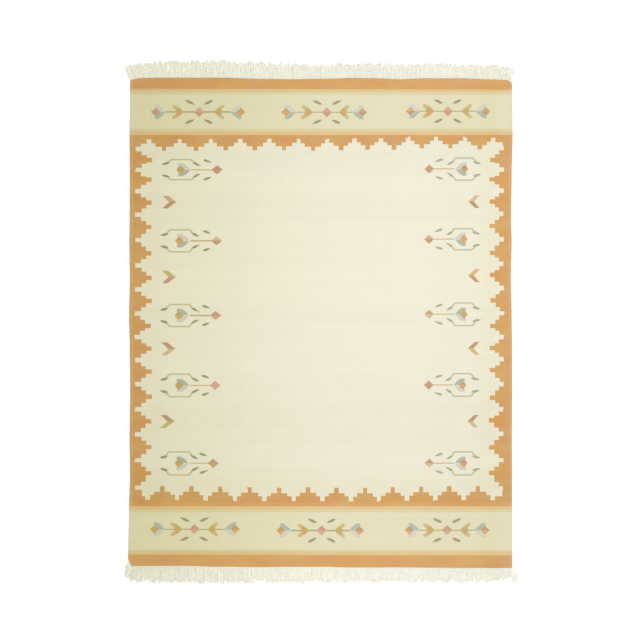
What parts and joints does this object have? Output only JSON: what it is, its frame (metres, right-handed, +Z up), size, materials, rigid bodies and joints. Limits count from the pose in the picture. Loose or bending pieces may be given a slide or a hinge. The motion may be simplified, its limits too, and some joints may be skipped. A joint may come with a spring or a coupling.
{
  "type": "flat-woven rug",
  "caption": "Rectangular flat-woven rug with stepped borders, small flower motifs, corded side edges and a knotted warp fringe at both ends.",
  "frame": {"origin": "on the floor, below the centre of the bounding box of the whole rug, fringes included", "axes": "+X across the rug (right in the picture), +Y along the rug to its far end (top of the picture), +Z up out of the face"},
  "size_m": [2.5008, 3.3524, 0.0056],
  "materials": {
    "woven_wool": "matte weft-faced flat weave with ribs along the rug, cream field, orange and pale gold borders",
    "cotton_fringe": "matte undyed cotton yarn, twisted and knotted"
  },
  "bodies": {
    "root": {"woven_rug": "woven_wool", "fringe_far_end": "cotton_fringe", "fringe_near_end": "cotton_fringe"}
  },
  "joints": []
}
